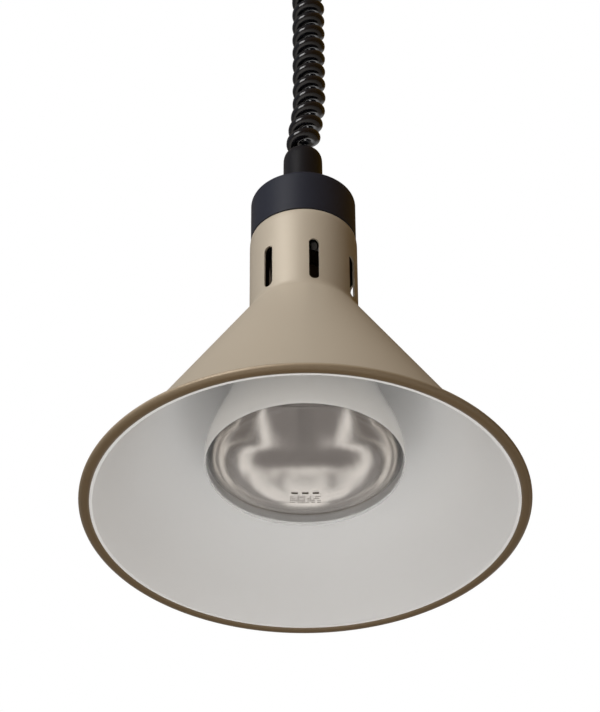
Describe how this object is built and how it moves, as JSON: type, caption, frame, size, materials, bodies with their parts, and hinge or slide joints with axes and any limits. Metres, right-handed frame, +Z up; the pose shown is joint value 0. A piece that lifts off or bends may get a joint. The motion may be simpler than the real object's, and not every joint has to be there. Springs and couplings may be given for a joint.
{
  "type": "pendant heat lamp",
  "caption": "Pendant heat lamp: conical spun shade with vent slots and rolled rim, infrared reflector bulb, black cap and gland, hung on a spiral cord from a ceiling cup.",
  "frame": {"origin": "middle of the ceiling bracket's top face, where it meets the ceiling", "axes": "+Z up along the hanging axis, away from the lamp; +X along the ceiling bracket; the lamp hangs towards -Z"},
  "size_m": [0.2748, 0.2748, 0.5449],
  "materials": {
    "shade_enamel": "champagne satin enamel outside, white enamel inside",
    "black_plastic": "satin moulded plastic",
    "black_rubber": "glossy smooth jacket",
    "zinc_steel": "zinc plated",
    "white_nylon": "natural nylon",
    "ceramic": "dark brown glazed porcelain",
    "brass": "bright",
    "nickel": "nickel plated",
    "bulb_glass": "clear face, silvered back",
    "black_glass": "black glass",
    "tungsten": "drawn wire",
    "brown_wire": "silicone",
    "blue_wire": "silicone",
    "earth_wire": "silicone"
  },
  "bodies": {
    "ceiling_fitting": {"ceiling_bracket": "zinc_steel", "cord_hanger": "zinc_steel", "ceiling_cup": "black_plastic", "cup_screw_1": "zinc_steel", "cup_screw_2": "zinc_steel", "hanger_screw_1": "zinc_steel", "hanger_screw_2": "zinc_steel", "ceiling_saddle_1": "white_nylon", "ceiling_saddle_2": "white_nylon", "ceiling_saddle_screw_1": "zinc_steel", "ceiling_saddle_screw_2": "zinc_steel", "cord_top_tail": "black_rubber", "supply_terminal_block": "white_nylon", "supply_live_wire": "brown_wire", "supply_neutral_wire": "blue_wire", "supply_earth_wire": "earth_wire"},
    "sleeve": {"bend_sleeve": "black_rubber"},
    "cord": {"cord_straight": "black_rubber", "cord_spiral": "black_rubber"},
    "lamp": {"shade": "shade_enamel", "top_cap": "black_plastic", "cord_gland": "black_plastic", "gland_nut": "black_plastic", "lamp_saddle_1": "white_nylon", "lamp_saddle_2": "white_nylon", "lamp_saddle_screw_1": "zinc_steel", "lamp_saddle_screw_2": "zinc_steel", "lampholder": "ceramic", "screw_shell": "brass", "centre_contact": "brass", "live_terminal": "brass", "neutral_terminal": "brass", "holder_bracket": "zinc_steel", "holder_screw_1": "zinc_steel", "holder_screw_2": "zinc_steel", "bracket_screw_1": "zinc_steel", "bracket_screw_2": "zinc_steel", "wire_grommet": "black_rubber", "cord_lower_tail": "black_rubber", "live_wire": "brown_wire", "neutral_wire": "blue_wire", "earth_wire": "earth_wire", "earth_screw": "zinc_steel"},
    "bulb_tip": {"bulb_contact_tip": "nickel"},
    "bulb": {"bulb_glass": "bulb_glass", "bulb_screw_cap": "nickel", "bulb_insulator": "black_glass", "bulb_stem": "bulb_glass", "lead_wire_1": "nickel", "lead_wire_2": "nickel", "filament": "tungsten"}
  },
  "joints": [
    {"name": "sleeve_swing", "type": "hinge", "parent": "ceiling_fitting", "child": "sleeve", "pos_m": [0, 0, -0.039], "axis": [1, 0, 0], "range_deg": [-12, 12]},
    {"name": "cord_swing", "type": "hinge", "parent": "sleeve", "child": "cord", "pos_m": [0, 0, -0.068], "axis": [0, 1, 0], "range_deg": [-12, 12]},
    {"name": "height_adjust", "type": "slide", "parent": "cord", "child": "lamp", "axis": [0, 0, -1], "range_m": [-0.06, 0.16], "stiffness_N_per_m": 120, "springref_m": -0.05775, "deforming": ["cord_spiral"]},
    {"name": "bulb_travel", "type": "slide", "parent": "lamp", "child": "bulb_tip", "axis": [0, 0, -1], "range_m": [0, 0.0255]},
    {"name": "bulb_turn", "type": "hinge", "parent": "bulb_tip", "child": "bulb", "pos_m": [0, 0, -0.362], "axis": [0, 0, -1], "range_deg": [0, 2520]}
  ],
  "couplings": [
    {"joint": "bulb_travel", "follows": "bulb_turn", "m_per_rad": 0.00057614}
  ]
}
